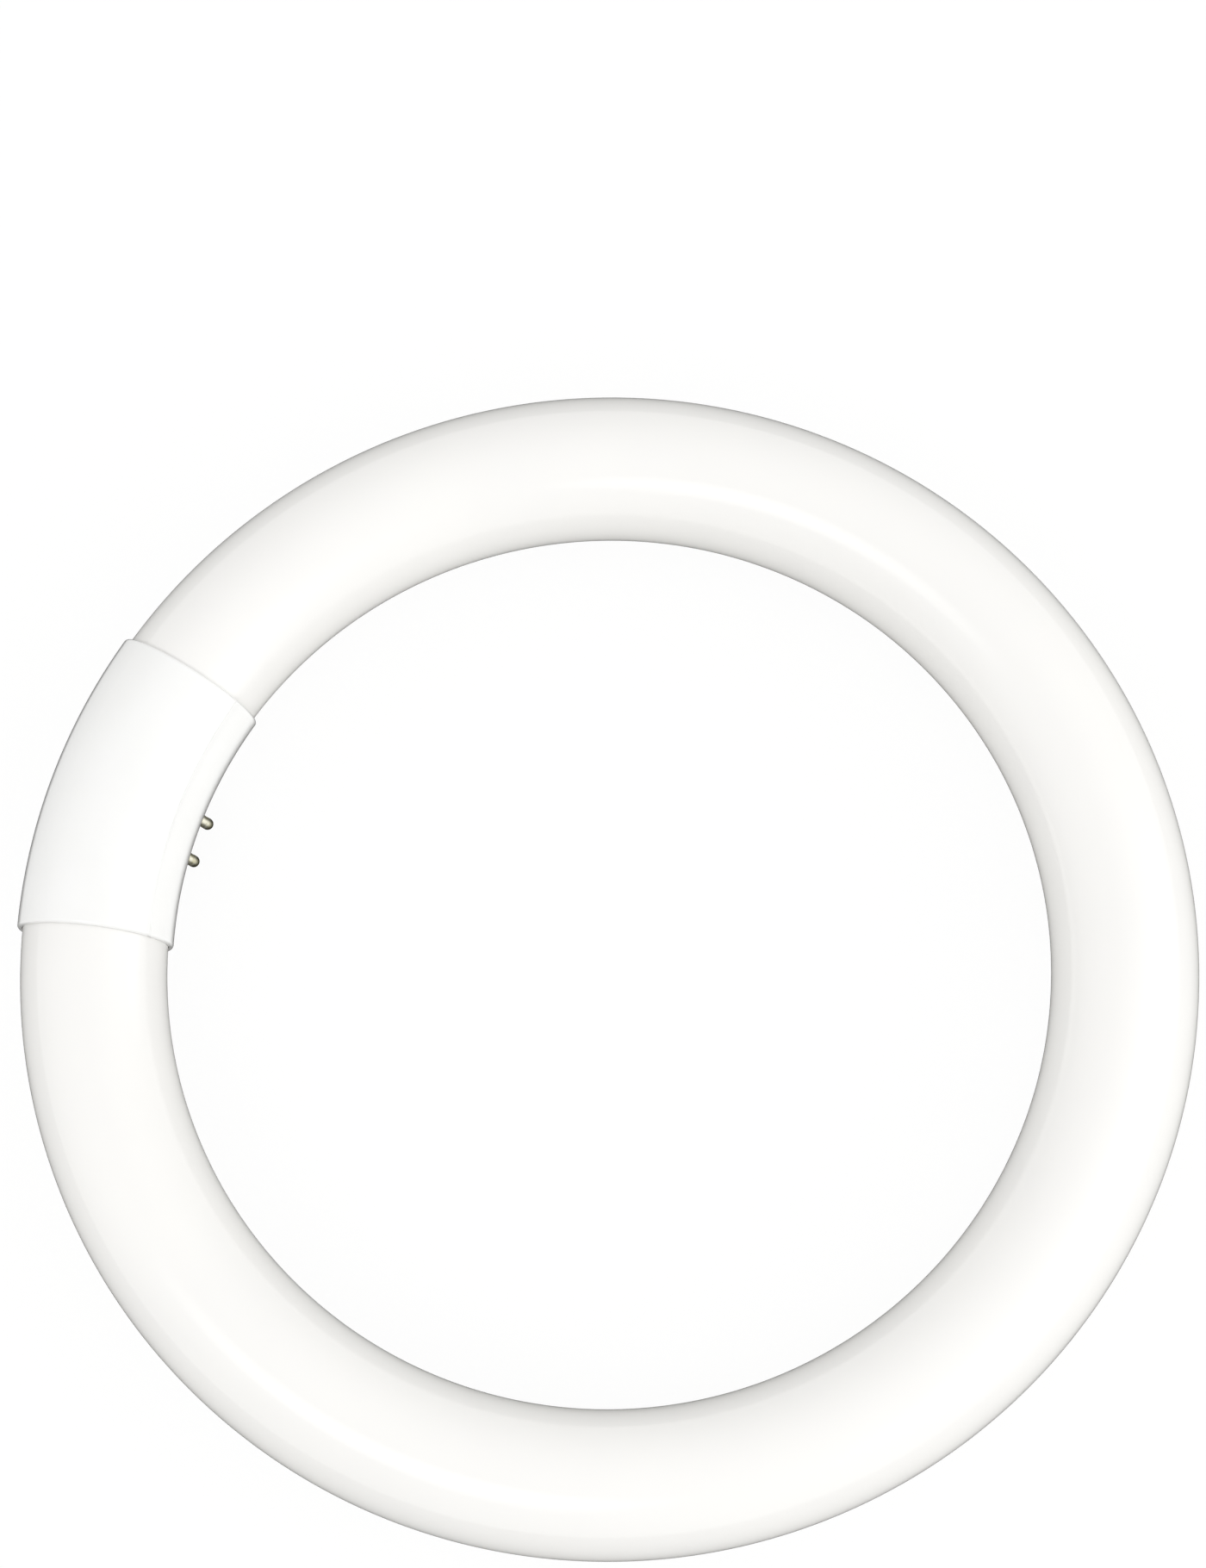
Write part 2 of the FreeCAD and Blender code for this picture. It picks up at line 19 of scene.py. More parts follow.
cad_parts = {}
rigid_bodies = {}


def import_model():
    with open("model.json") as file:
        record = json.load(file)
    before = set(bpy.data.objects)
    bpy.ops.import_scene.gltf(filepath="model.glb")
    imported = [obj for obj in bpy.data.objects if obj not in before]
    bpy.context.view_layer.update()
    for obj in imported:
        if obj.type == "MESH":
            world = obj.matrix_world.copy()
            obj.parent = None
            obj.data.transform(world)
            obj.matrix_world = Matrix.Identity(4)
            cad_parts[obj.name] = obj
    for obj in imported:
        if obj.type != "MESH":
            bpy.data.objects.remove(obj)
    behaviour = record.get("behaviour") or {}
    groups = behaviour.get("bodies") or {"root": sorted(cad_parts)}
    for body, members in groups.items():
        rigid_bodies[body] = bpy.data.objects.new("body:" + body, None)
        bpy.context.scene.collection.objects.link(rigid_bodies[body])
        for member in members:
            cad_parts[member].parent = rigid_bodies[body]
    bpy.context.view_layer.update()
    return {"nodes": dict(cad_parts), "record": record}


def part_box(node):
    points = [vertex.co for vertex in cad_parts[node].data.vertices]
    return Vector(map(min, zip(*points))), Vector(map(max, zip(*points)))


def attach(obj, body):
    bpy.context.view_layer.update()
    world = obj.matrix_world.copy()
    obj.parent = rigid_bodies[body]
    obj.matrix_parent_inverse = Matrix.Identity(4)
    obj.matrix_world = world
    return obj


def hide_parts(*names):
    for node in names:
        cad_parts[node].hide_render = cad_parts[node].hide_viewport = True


for leftover in list(bpy.data.objects):
    bpy.data.objects.remove(leftover)
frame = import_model()

MM = 0.001
BODY = "root"
# Points nearer to each other than this are one
WELD = 0.002 * MM
# Edges that turn more than this stay crisp
SHARP = math.radians(40)
LOG = logging.getLogger("circular_lamp")


class Slot(Enum):
    """The record's material slots."""

    COATED_GLASS = "coated_glass"
    CAP_PLASTIC = "cap_plastic"
    PIN_BRASS = "pin_brass"
    LEAD_METAL = "lead_metal"
    SLEEVING = "sleeving"


def linear(hex_colour: str) -> tuple[float, float, float, float]:
    """Turns an sRGB colour to the linear one that shaders and lamps take.

    Args:
        hex_colour: Six hex digits after a hash sign.

    Returns:
        Red, green, blue and an alpha of 1.
    """
    channels = [int(hex_colour[at : at + 2], 16) / 255 for at in (1, 3, 5)]
    made = [c / 12.92 if c <= 0.04045 else ((c + 0.055) / 1.055) ** 2.4 for c in channels]
    return made[0], made[1], made[2], 1.0


def per_metre(size: float) -> float:
    """The scale of a pattern whose features are as large as size."""
    return 1 / size


def add_node(
    tree: bpy.types.NodeTree, kind: str, inputs: dict | None = None, **settings: object
) -> bpy.types.Node:
    """Adds one node to a tree.

    Args:
        tree: The shader or geometry tree.
        kind: The node's type name.
        inputs: A value, a node's output, or a node whose first output is meant, for each input by
            its name or number.
        settings: The node's own properties.

    Returns:
        The new node.
    """
    node = tree.nodes.new(kind)
    for name, value in settings.items():
        setattr(node, name, value)
    for name, given in (inputs or {}).items():
        value = given.outputs[0] if isinstance(given, bpy.types.Node) else given
        if isinstance(value, bpy.types.NodeSocket):
            tree.links.new(value, node.inputs[name])
        else:
            node.inputs[name].default_value = value
    return node


@dataclass(frozen=True)
class Finish:
    """What every finish has: a name, a material slot and a principled surface."""

    name: str
    slot: Slot

    def material(self) -> bpy.types.Material:
        """Builds the finish.

        Returns:
            The finished material.
        """
        made = bpy.data.materials.new(self.name)
        made.use_nodes = True
        tree = made.node_tree
        tree.nodes.clear()
        spot = add_node(tree, "ShaderNodeTexCoord").outputs["Object"]
        surface = add_node(tree, "ShaderNodeBsdfPrincipled")
        self.dress(tree, spot, surface)
        add_node(tree, "ShaderNodeOutputMaterial", {"Surface": surface.outputs["BSDF"]})
        return made

    def dress(
        self, tree: bpy.types.NodeTree, spot: bpy.types.NodeSocket, surface: bpy.types.Node
    ) -> None:
        """Gives the surface its colour, gloss and relief.

        Args:
            tree: The material's tree.
            spot: The object coordinates.
            surface: The principled shader.
        """
        raise NotImplementedError


def set_constants(surface: bpy.types.Node, **constants: object) -> None:
    """Sets the shader's sockets that are the same all over, named with underscores."""
    for name, value in constants.items():
        surface.inputs[name.replace("_", " ")].default_value = value


@dataclass(frozen=True)
class CoatedGlass(Finish):
    """Soda-lime glass, drawn and bent, over a sprayed phosphor powder.

    The powder gives a flat warm white with faint clouds, and the clear glass over it a sharp
    gloss that wavers where the tube was bent.
    """

    powder_thick: str = "#FAF9F6"
    powder_thin: str = "#F6F5F3"
    cloud: float = 22 * MM
    waver: float = 34 * MM
    waver_height: float = 0.05 * MM

    def dress(
        self, tree: bpy.types.NodeTree, spot: bpy.types.NodeSocket, surface: bpy.types.Node
    ) -> None:
        """Lays the glass over the powder."""
        clouds = add_node(
            tree, "ShaderNodeTexNoise", {"Vector": spot, "Scale": per_metre(self.cloud), "Detail": 4.0}
        )
        powder = add_node(
            tree,
            "ShaderNodeMix",
            {
                "Factor": clouds.outputs["Fac"],
                6: linear(self.powder_thin),
                7: linear(self.powder_thick),
            },
            data_type="RGBA",
        )
        tree.links.new(powder.outputs[2], surface.inputs["Base Color"])
        wavering = add_node(
            tree, "ShaderNodeTexNoise", {"Vector": spot, "Scale": per_metre(self.waver), "Detail": 1.0}
        )
        relief = add_node(
            tree, "ShaderNodeBump", {"Height": wavering.outputs["Fac"], "Distance": self.waver_height}
        )
        tree.links.new(relief.outputs["Normal"], surface.inputs["Coat Normal"])
        set_constants(
            surface,
            Roughness=0.9,
            Specular_IOR_Level=0.0,
            Coat_Weight=1.0,
            Coat_Roughness=0.0,
            Coat_IOR=1.5,
        )


@dataclass(frozen=True)
class MouldedPolyester(Finish):
    """Injection-moulded white polyester: satin, with a fine grain, under the mould's glossy skin."""

    colour: str = "#FBFBFA"
    shade: str = "#F7F7F5"
    grain: float = 0.35 * MM
    grain_height: float = 0.006 * MM
    flow: float = 9 * MM

    def dress(
        self, tree: bpy.types.NodeTree, spot: bpy.types.NodeSocket, surface: bpy.types.Node
    ) -> None:
        """Gives the plastic its faint flow clouds and its grain."""
        flow = add_node(
            tree, "ShaderNodeTexNoise", {"Vector": spot, "Scale": per_metre(self.flow), "Detail": 3.0}
        )
        colour = add_node(
            tree,
            "ShaderNodeMix",
            {"Factor": flow.outputs["Fac"], 6: linear(self.shade), 7: linear(self.colour)},
            data_type="RGBA",
        )
        tree.links.new(colour.outputs[2], surface.inputs["Base Color"])
        grain = add_node(
            tree, "ShaderNodeTexNoise", {"Vector": spot, "Scale": per_metre(self.grain), "Detail": 2.0}
        )
        relief = add_node(
            tree, "ShaderNodeBump", {"Height": grain.outputs["Fac"], "Distance": self.grain_height}
        )
        tree.links.new(relief.outputs["Normal"], surface.inputs["Normal"])
        set_constants(
            surface,
            Roughness=0.3,
            IOR=1.57,
            Specular_IOR_Level=0.25,
            Coat_Weight=1.0,
            Coat_Roughness=0.02,
            Coat_IOR=1.5,
        )


@dataclass(frozen=True)
class DrawnBrass(Finish):
    """Drawn brass, polished by its die, lightly tarnished in patches, with a dull tin-dipped tip that is
    also darkened as painted shade.

    The tip darkens along the pins' own direction, between two planes that all four share: partly the dull
    tin, partly painted shade that stands in for the dark rim of reflections at the pins' tips.
    """

    direction: tuple[float, float, float]
    tip: float
    bright: str = "#FFFCE8"
    tarnish: str = "#DAD4AE"
    # Dull tin at the tip, darkened further as painted shade for the dark rim of reflections there
    tip_tin_and_shade: str = "#8A8770"
    tin_and_shade_from: float = 2.3 * MM
    tin_and_shade_to: float = 1.2 * MM
    patch: float = 1.1 * MM
    # The levels of the patches' pattern at which tarnish starts and is whole
    patch_levels: tuple[float, float] = (0.42, 0.66)
    # Roughness where the brass is bare and where the patches are darkest
    dullness: tuple[float, float] = (0.12, 0.28)
    line: float = 0.12 * MM
    line_height: float = 0.004 * MM
    # The film of tarnish scatters the rest, so no side turns quite black
    bare_metal: float = 0.8

    def dress(
        self, tree: bpy.types.NodeTree, spot: bpy.types.NodeSocket, surface: bpy.types.Node
    ) -> None:
        """Gives the brass its tarnish and its turning lines."""
        patches = add_node(
            tree, "ShaderNodeTexNoise", {"Vector": spot, "Scale": per_metre(self.patch), "Detail": 3.0}
        )
        share = add_node(
            tree,
            "ShaderNodeMapRange",
            {
                "Value": patches.outputs["Fac"],
                "From Min": self.patch_levels[0],
                "From Max": self.patch_levels[1],
            },
        )
        colour = add_node(
            tree,
            "ShaderNodeMix",
            {"Factor": share.outputs["Result"], 6: linear(self.bright), 7: linear(self.tarnish)},
            data_type="RGBA",
        )
        reach = add_node(
            tree, "ShaderNodeVectorMath", {0: spot, 1: self.direction}, operation="DOT_PRODUCT"
        )
        # The share of the tip's tin and painted shade, rising towards the tip
        tin_and_shade_share = add_node(
            tree,
            "ShaderNodeMapRange",
            {
                "Value": reach.outputs["Value"],
                "From Min": self.tip - self.tin_and_shade_from,
                "From Max": self.tip - self.tin_and_shade_to,
            },
            interpolation_type="SMOOTHSTEP",
        )
        whole = add_node(
            tree,
            "ShaderNodeMix",
            {"Factor": tin_and_shade_share.outputs["Result"], 6: colour.outputs[2], 7: linear(self.tip_tin_and_shade)},
            data_type="RGBA",
        )
        tree.links.new(whole.outputs[2], surface.inputs["Base Color"])
        roughness = add_node(
            tree,
            "ShaderNodeMapRange",
            {
                "Value": patches.outputs["Fac"],
                "To Min": self.dullness[0],
                "To Max": self.dullness[1],
            },
        )
        tree.links.new(roughness.outputs["Result"], surface.inputs["Roughness"])
        lines = add_node(
            tree, "ShaderNodeTexNoise", {"Vector": spot, "Scale": per_metre(self.line), "Detail": 1.0}
        )
        relief = add_node(
            tree, "ShaderNodeBump", {"Height": lines.outputs["Fac"], "Distance": self.line_height}
        )
        tree.links.new(relief.outputs["Normal"], surface.inputs["Normal"])
        set_constants(surface, Metallic=self.bare_metal)


@dataclass(frozen=True)
class PlatedWire(Finish):
    """Nickel-plated lead wire: a pale metal with faint drawing marks."""

    bright: str = "#C9C6BE"
    dull: str = "#A5A29A"
    mark: float = 0.5 * MM

    def dress(
        self, tree: bpy.types.NodeTree, spot: bpy.types.NodeSocket, surface: bpy.types.Node
    ) -> None:
        """Gives the wire its marks."""
        marks = add_node(
            tree, "ShaderNodeTexNoise", {"Vector": spot, "Scale": per_metre(self.mark), "Detail": 3.0}
        )
        colour = add_node(
            tree,
            "ShaderNodeMix",
            {"Factor": marks.outputs["Fac"], 6: linear(self.dull), 7: linear(self.bright)},
            data_type="RGBA",
        )
        tree.links.new(colour.outputs[2], surface.inputs["Base Color"])
        set_constants(surface, Metallic=1.0, Roughness=0.32)


@dataclass(frozen=True)
class WovenSleeving(Finish):
    """Braided glass-fibre sleeving: cream, dull, with two sets of threads that cross."""

    thread: str = "#EFE9D8"
    gap: str = "#C9BFA4"
    pitch: float = 0.35 * MM
    height: float = 0.05 * MM

    def dress(
        self, tree: bpy.types.NodeTree, spot: bpy.types.NodeSocket, surface: bpy.types.Node
    ) -> None:
        """Crosses the two sets of threads."""
        heights = []
        for turn in (math.radians(45), math.radians(-45)):
            turned = add_node(tree, "ShaderNodeMapping", {"Vector": spot, "Rotation": (turn, 0.0, turn)})
            wave = add_node(
                tree,
                "ShaderNodeTexWave",
                {"Vector": turned.outputs["Vector"], "Scale": per_metre(self.pitch) / math.tau},
            )
            heights.append(wave.outputs["Fac"])
        weave = add_node(tree, "ShaderNodeMath", {0: heights[0], 1: heights[1]}, operation="MAXIMUM")
        colour = add_node(
            tree,
            "ShaderNodeMix",
            {"Factor": weave, 6: linear(self.gap), 7: linear(self.thread)},
            data_type="RGBA",
        )
        tree.links.new(colour.outputs[2], surface.inputs["Base Color"])
        relief = add_node(tree, "ShaderNodeBump", {"Height": weave, "Distance": self.height})
        tree.links.new(relief.outputs["Normal"], surface.inputs["Normal"])
        set_constants(surface, Roughness=0.85)


def build_materials(contacts: "Contacts") -> dict[Slot, bpy.types.Material]:
    """Builds every finish.

    Args:
        contacts: The pins, whose direction and tips the brass follows.

    Returns:
        The material of each slot.
    """
    finishes = (
        CoatedGlass("glass_over_phosphor", Slot.COATED_GLASS),
        MouldedPolyester("moulded_polyester", Slot.CAP_PLASTIC),
        DrawnBrass("drawn_brass", Slot.PIN_BRASS, tuple(contacts.direction), contacts.tip),
        PlatedWire("plated_wire", Slot.LEAD_METAL),
        WovenSleeving("woven_sleeving", Slot.SLEEVING),
    )
    return {finish.slot: finish.material() for finish in finishes}


def node_points(name: str) -> np.ndarray:
    """The vertices of a CAD node, one row each."""
    mesh = frame["nodes"][name].data
    points = np.zeros(len(mesh.vertices) * 3)
    mesh.vertices.foreach_get("co", points)
    return points.reshape(-1, 3)


def finished_piece(
    piece: bpy.types.Object, slot: Slot, materials: dict[Slot, bpy.types.Material], *nodes: str
) -> bpy.types.Object:
    """Gives a piece its material and its body, and hides the CAD nodes that it stands for.

    Args:
        piece: The piece, with its place in its mesh.
        slot: The record's slot of its finish.
        materials: The material of each slot.
        nodes: The CAD nodes that it replaces.

    Returns:
        The same piece.
    """
    piece.data.materials.clear()
    piece.data.materials.append(materials[slot])
    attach(piece, BODY)
    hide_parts(*nodes)
    LOG.info("%s: %d faces", piece.name, len(piece.data.polygons))
    return piece


@dataclass
class GlassRing:
    """The bent tube, with the rounded ends, stems and exhaust tips that the cap hides."""

    end_gap: float = 17 * MM
    shoulder: float = 4.5 * MM
    stem_mouth: float = 8 * MM
    stem_neck: float = 5 * MM
    stem_flare: float = 3 * MM
    stem_depth: float = 7 * MM
    exhaust: float = 1.5 * MM
    exhaust_reach: float = 3 * MM
    steps_along: int = 560
    steps_around: int = 96
    dome_steps: int = 6

    def __post_init__(self) -> None:
        """Reads the ring's main sizes from the frame."""
        low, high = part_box("glass_tube")
        self.tube = (high.z - low.z) / 2
        self.height = (high.z + low.z) / 2
        self.ring = high.x - self.tube
        self.end_angle = self.end_gap / 2 / self.ring

    def tube_tree(self) -> bpy.types.NodeTree:
        """The geometry nodes that sweep the tube and round its ends.

        Returns:
            The tree, with an input for each size.
        """
        tree = bpy.data.node_groups.new("BentTube", "GeometryNodeTree")
        sizes = ("Ring Radius", "Tube Radius", "End Angle", "Shoulder", "Height")
        tree.interface.new_socket("Geometry", in_out="OUTPUT", socket_type="NodeSocketGeometry")
        for name in sizes:
            tree.interface.new_socket(name, in_out="INPUT", socket_type="NodeSocketFloat")
        for name in ("Steps Along", "Steps Around"):
            tree.interface.new_socket(name, in_out="INPUT", socket_type="NodeSocketInt")
        tree.interface.new_socket("Material", in_out="INPUT", socket_type="NodeSocketMaterial")
        given = add_node(tree, "NodeGroupInput").outputs
        start = add_node(
            tree, "ShaderNodeMath", {0: given["End Angle"], 1: math.pi}, operation="SUBTRACT"
        )
        gap = add_node(
            tree, "ShaderNodeMath", {0: given["End Angle"], 1: 2.0}, operation="MULTIPLY"
        )
        sweep = add_node(tree, "ShaderNodeMath", {0: math.tau, 1: gap}, operation="SUBTRACT")
        arc = add_node(
            tree,
            "GeometryNodeCurveArc",
            {
                "Resolution": given["Steps Along"],
                "Radius": given["Ring Radius"],
                "Start Angle": start,
                "Sweep Angle": sweep,
            },
        )
        along = add_node(tree, "GeometryNodeSplineParameter").outputs["Length"]
        whole = add_node(tree, "GeometryNodeSplineLength").outputs["Length"]
        from_far_end = add_node(tree, "ShaderNodeMath", {0: whole, 1: along}, operation="SUBTRACT")
        from_end = add_node(tree, "ShaderNodeMath", {0: along, 1: from_far_end}, operation="MINIMUM")
        within = add_node(
            tree, "ShaderNodeMath", {0: given["Shoulder"], 1: from_end}, operation="SUBTRACT"
        )
        leg = add_node(tree, "ShaderNodeMath", {0: within, 1: 0.0}, operation="MAXIMUM")
        # The shoulder's quarter circle, by the rule of Pythagoras
        leg_squared = add_node(tree, "ShaderNodeMath", {0: leg, 1: leg}, operation="MULTIPLY")
        radius_squared = add_node(
            tree, "ShaderNodeMath", {0: given["Shoulder"], 1: given["Shoulder"]}, operation="MULTIPLY"
        )
        rest = add_node(
            tree, "ShaderNodeMath", {0: radius_squared, 1: leg_squared}, operation="SUBTRACT"
        )
        not_below_zero = add_node(tree, "ShaderNodeMath", {0: rest, 1: 0.0}, operation="MAXIMUM")
        rounding = add_node(tree, "ShaderNodeMath", {0: not_below_zero}, operation="SQRT")
        flat = add_node(
            tree, "ShaderNodeMath", {0: given["Tube Radius"], 1: given["Shoulder"]}, operation="SUBTRACT"
        )
        radius = add_node(tree, "ShaderNodeMath", {0: flat, 1: rounding}, operation="ADD")
        section = add_node(
            tree,
            "GeometryNodeCurvePrimitiveCircle",
            {"Resolution": given["Steps Around"], "Radius": 1.0},
        )
        swept = add_node(
            tree,
            "GeometryNodeCurveToMesh",
            {
                "Curve": arc.outputs["Curve"],
                "Profile Curve": section.outputs["Curve"],
                "Scale": radius,
            },
        )
        lift = add_node(tree, "ShaderNodeCombineXYZ", {"Z": given["Height"]})
        lifted = add_node(
            tree,
            "GeometryNodeTransform",
            {"Geometry": swept.outputs["Mesh"], "Translation": lift.outputs["Vector"]},
        )
        smooth = add_node(
            tree, "GeometryNodeSetShadeSmooth", {"Geometry": lifted.outputs["Geometry"]}
        )
        real = add_node(
            tree, "GeometryNodeRealizeInstances", {"Geometry": smooth.outputs["Geometry"]}
        )
        dressed = add_node(
            tree,
            "GeometryNodeSetMaterial",
            {"Geometry": real.outputs["Geometry"], "Material": given["Material"]},
        )
        add_node(tree, "NodeGroupOutput", {"Geometry": dressed.outputs["Geometry"]})
        return tree

    def swept_tube(self, material: bpy.types.Material) -> bpy.types.Mesh:
        """Runs the tree and keeps its result.

        Args:
            material: The finish that the tree sets.

        Returns:
            The tube as a plain mesh, open at both ends.
        """
        holder = bpy.data.objects.new("tube_holder", bpy.data.meshes.new("tube_holder"))
        bpy.context.scene.collection.objects.link(holder)
        modifier = holder.modifiers.new("BentTube", "NODES")
        modifier.node_group = self.tube_tree()
        values = {
            "Ring Radius": self.ring,
            "Tube Radius": self.tube,
            "End Angle": self.end_angle,
            "Shoulder": self.shoulder,
            "Height": self.height,
            "Steps Along": self.steps_along,
            "Steps Around": self.steps_around,
            "Material": material,
        }
        return evaluated(holder, modifier, values)

    def stem_profile(self) -> list[tuple[float, float]]:
        """Radius and depth of the sealed end, from the shoulder in to the exhaust tip.

        Returns:
            The points, with a depth below zero inside the tube.
        """
        root = self.exhaust_reach - self.exhaust
        tip = [
            (
                self.exhaust * math.cos(math.pi / 2 * step / self.dome_steps),
                root + self.exhaust * math.sin(math.pi / 2 * step / self.dome_steps),
            )
            for step in range(self.dome_steps)
        ]
        return [
            (self.tube - self.shoulder, 0.0),
            (self.stem_mouth, 0.0),
            (self.stem_neck, -self.stem_flare),
            (self.stem_neck, -self.stem_depth),
            (self.exhaust, -self.stem_depth),
            *tip,
            (0.0, self.exhaust_reach),
        ]

    def add_end(self, mesh: bmesh.types.BMesh, side: int) -> None:
        """Closes one end with its stem, which starts from the tube's own rim.

        Args:
            mesh: The tube so far.
            side: 1 for the end at +Y, -1 for the one at -Y.
        """
        angle = math.pi - side * self.end_angle
        outward = Vector((-math.sin(angle), math.cos(angle), 0)) * side
        radial = Vector((math.cos(angle), math.sin(angle), 0))
        centre = radial * self.ring + Vector((0, 0, self.height))
        rim = [vert for vert in mesh.verts if vert.is_boundary and vert.co.y * side > 0]
        rings = []
        for radius, depth in self.stem_profile():
            ring = []
            for step in range(self.steps_around if radius else 1):
                turn = math.tau * step / self.steps_around
                across = radial * math.cos(turn) + Vector((0, 0, math.sin(turn)))
                spot = centre + outward * depth + across * radius
                if rings:
                    ring.append(mesh.verts.new(spot))
                else:
                    ring.append(min(rim, key=lambda vert: (vert.co - spot).length_squared))
            rings.append(ring)
        for outer, inner in zip(rings, rings[1:]):
            for step in range(self.steps_around):
                after = (step + 1) % self.steps_around
                corners = [outer[step], outer[after], inner[after % len(inner)], inner[step % len(inner)]]
                mesh.faces.new(list(dict.fromkeys(corners)))

    def build(self, materials: dict[Slot, bpy.types.Material]) -> bpy.types.Object:
        """Sweeps the tube and closes its ends.

        Args:
            materials: The material of each slot.

        Returns:
            The finished ring.
        """
        tube = self.swept_tube(materials[Slot.COATED_GLASS])
        mesh = bmesh.new()
        mesh.from_mesh(tube)
        self.add_end(mesh, 1)
        self.add_end(mesh, -1)
        mesh.to_mesh(tube)
        mesh.free()
        close_and_smooth(tube)
        piece = linked("glass_ring", tube)
        return finished_piece(piece, Slot.COATED_GLASS, materials, "glass_tube")


def linked(name: str, mesh: bpy.types.Mesh) -> bpy.types.Object:
    """A new object at the origin that shows a mesh."""
    mesh.name = name
    piece = bpy.data.objects.new(name, mesh)
    bpy.context.scene.collection.objects.link(piece)
    return piece


def close_and_smooth(mesh: bpy.types.Mesh) -> None:
    """Merges what meets, points the faces outwards and smooths all but the real edges.

    Args:
        mesh: The mesh to finish.
    """
    work = bmesh.new()
    work.from_mesh(mesh)
    bmesh.ops.remove_doubles(work, verts=work.verts, dist=WELD)
    bmesh.ops.recalc_face_normals(work, faces=work.faces)
    for face in work.faces:
        face.smooth = True
    work.to_mesh(mesh)
    work.free()
    mesh.set_sharp_from_angle(angle=SHARP)


def evaluated(
    holder: bpy.types.Object, modifier: bpy.types.NodesModifier, values: dict[str, object]
) -> bpy.types.Mesh:
    """Sets a tree's inputs, runs it and keeps the result as a plain mesh.

    Args:
        holder: The object that carries the modifier, deleted afterwards.
        modifier: The geometry nodes modifier.
        values: A value for each named input.

    Returns:
        The mesh.
    """
    for item in modifier.node_group.interface.items_tree:
        if item.in_out == "INPUT" and item.name in values:
            modifier[item.identifier] = values[item.name]
    graph = bpy.context.evaluated_depsgraph_get()
    made = bpy.data.meshes.new_from_object(holder.evaluated_get(graph))
    bpy.data.objects.remove(holder)
    return made


def dress_node(name: str, slot: Slot, materials: dict[Slot, bpy.types.Material]) -> None:
    """Gives a CAD node that stays the material of its slot.

    Args:
        name: The node.
        slot: The record's slot of its finish.
        materials: The material of each slot.
    """
    mesh = frame["nodes"][name].data
    for number in range(len(mesh.materials)):
        mesh.materials[number] = materials[slot]
    LOG.info("%s: %s", name, slot.value)


@dataclass
class Cap:
    """The split cap: a cover that snaps over a base, whose moulded forms the frame holds."""

    halves: tuple[str, ...] = ("cap_cover", "cap_base")

    def build(self, materials: dict[Slot, bpy.types.Material]) -> None:
        """Dresses both halves.

        Args:
            materials: The material of each slot.
        """
        for half in self.halves:
            dress_node(half, Slot.CAP_PLASTIC, materials)


@dataclass
class Leads:
    """The wires from the glass ends up into the pins, each in its braided sleeve."""

    count: int = 4

    def build(self, materials: dict[Slot, bpy.types.Material]) -> None:
        """Dresses the wires and the sleeves.

        Args:
            materials: The material of each slot.
        """
        for number in range(1, self.count + 1):
            dress_node(f"lead_wire_{number}", Slot.LEAD_METAL, materials)
            dress_node(f"wire_sleeve_{number}", Slot.SLEEVING, materials)


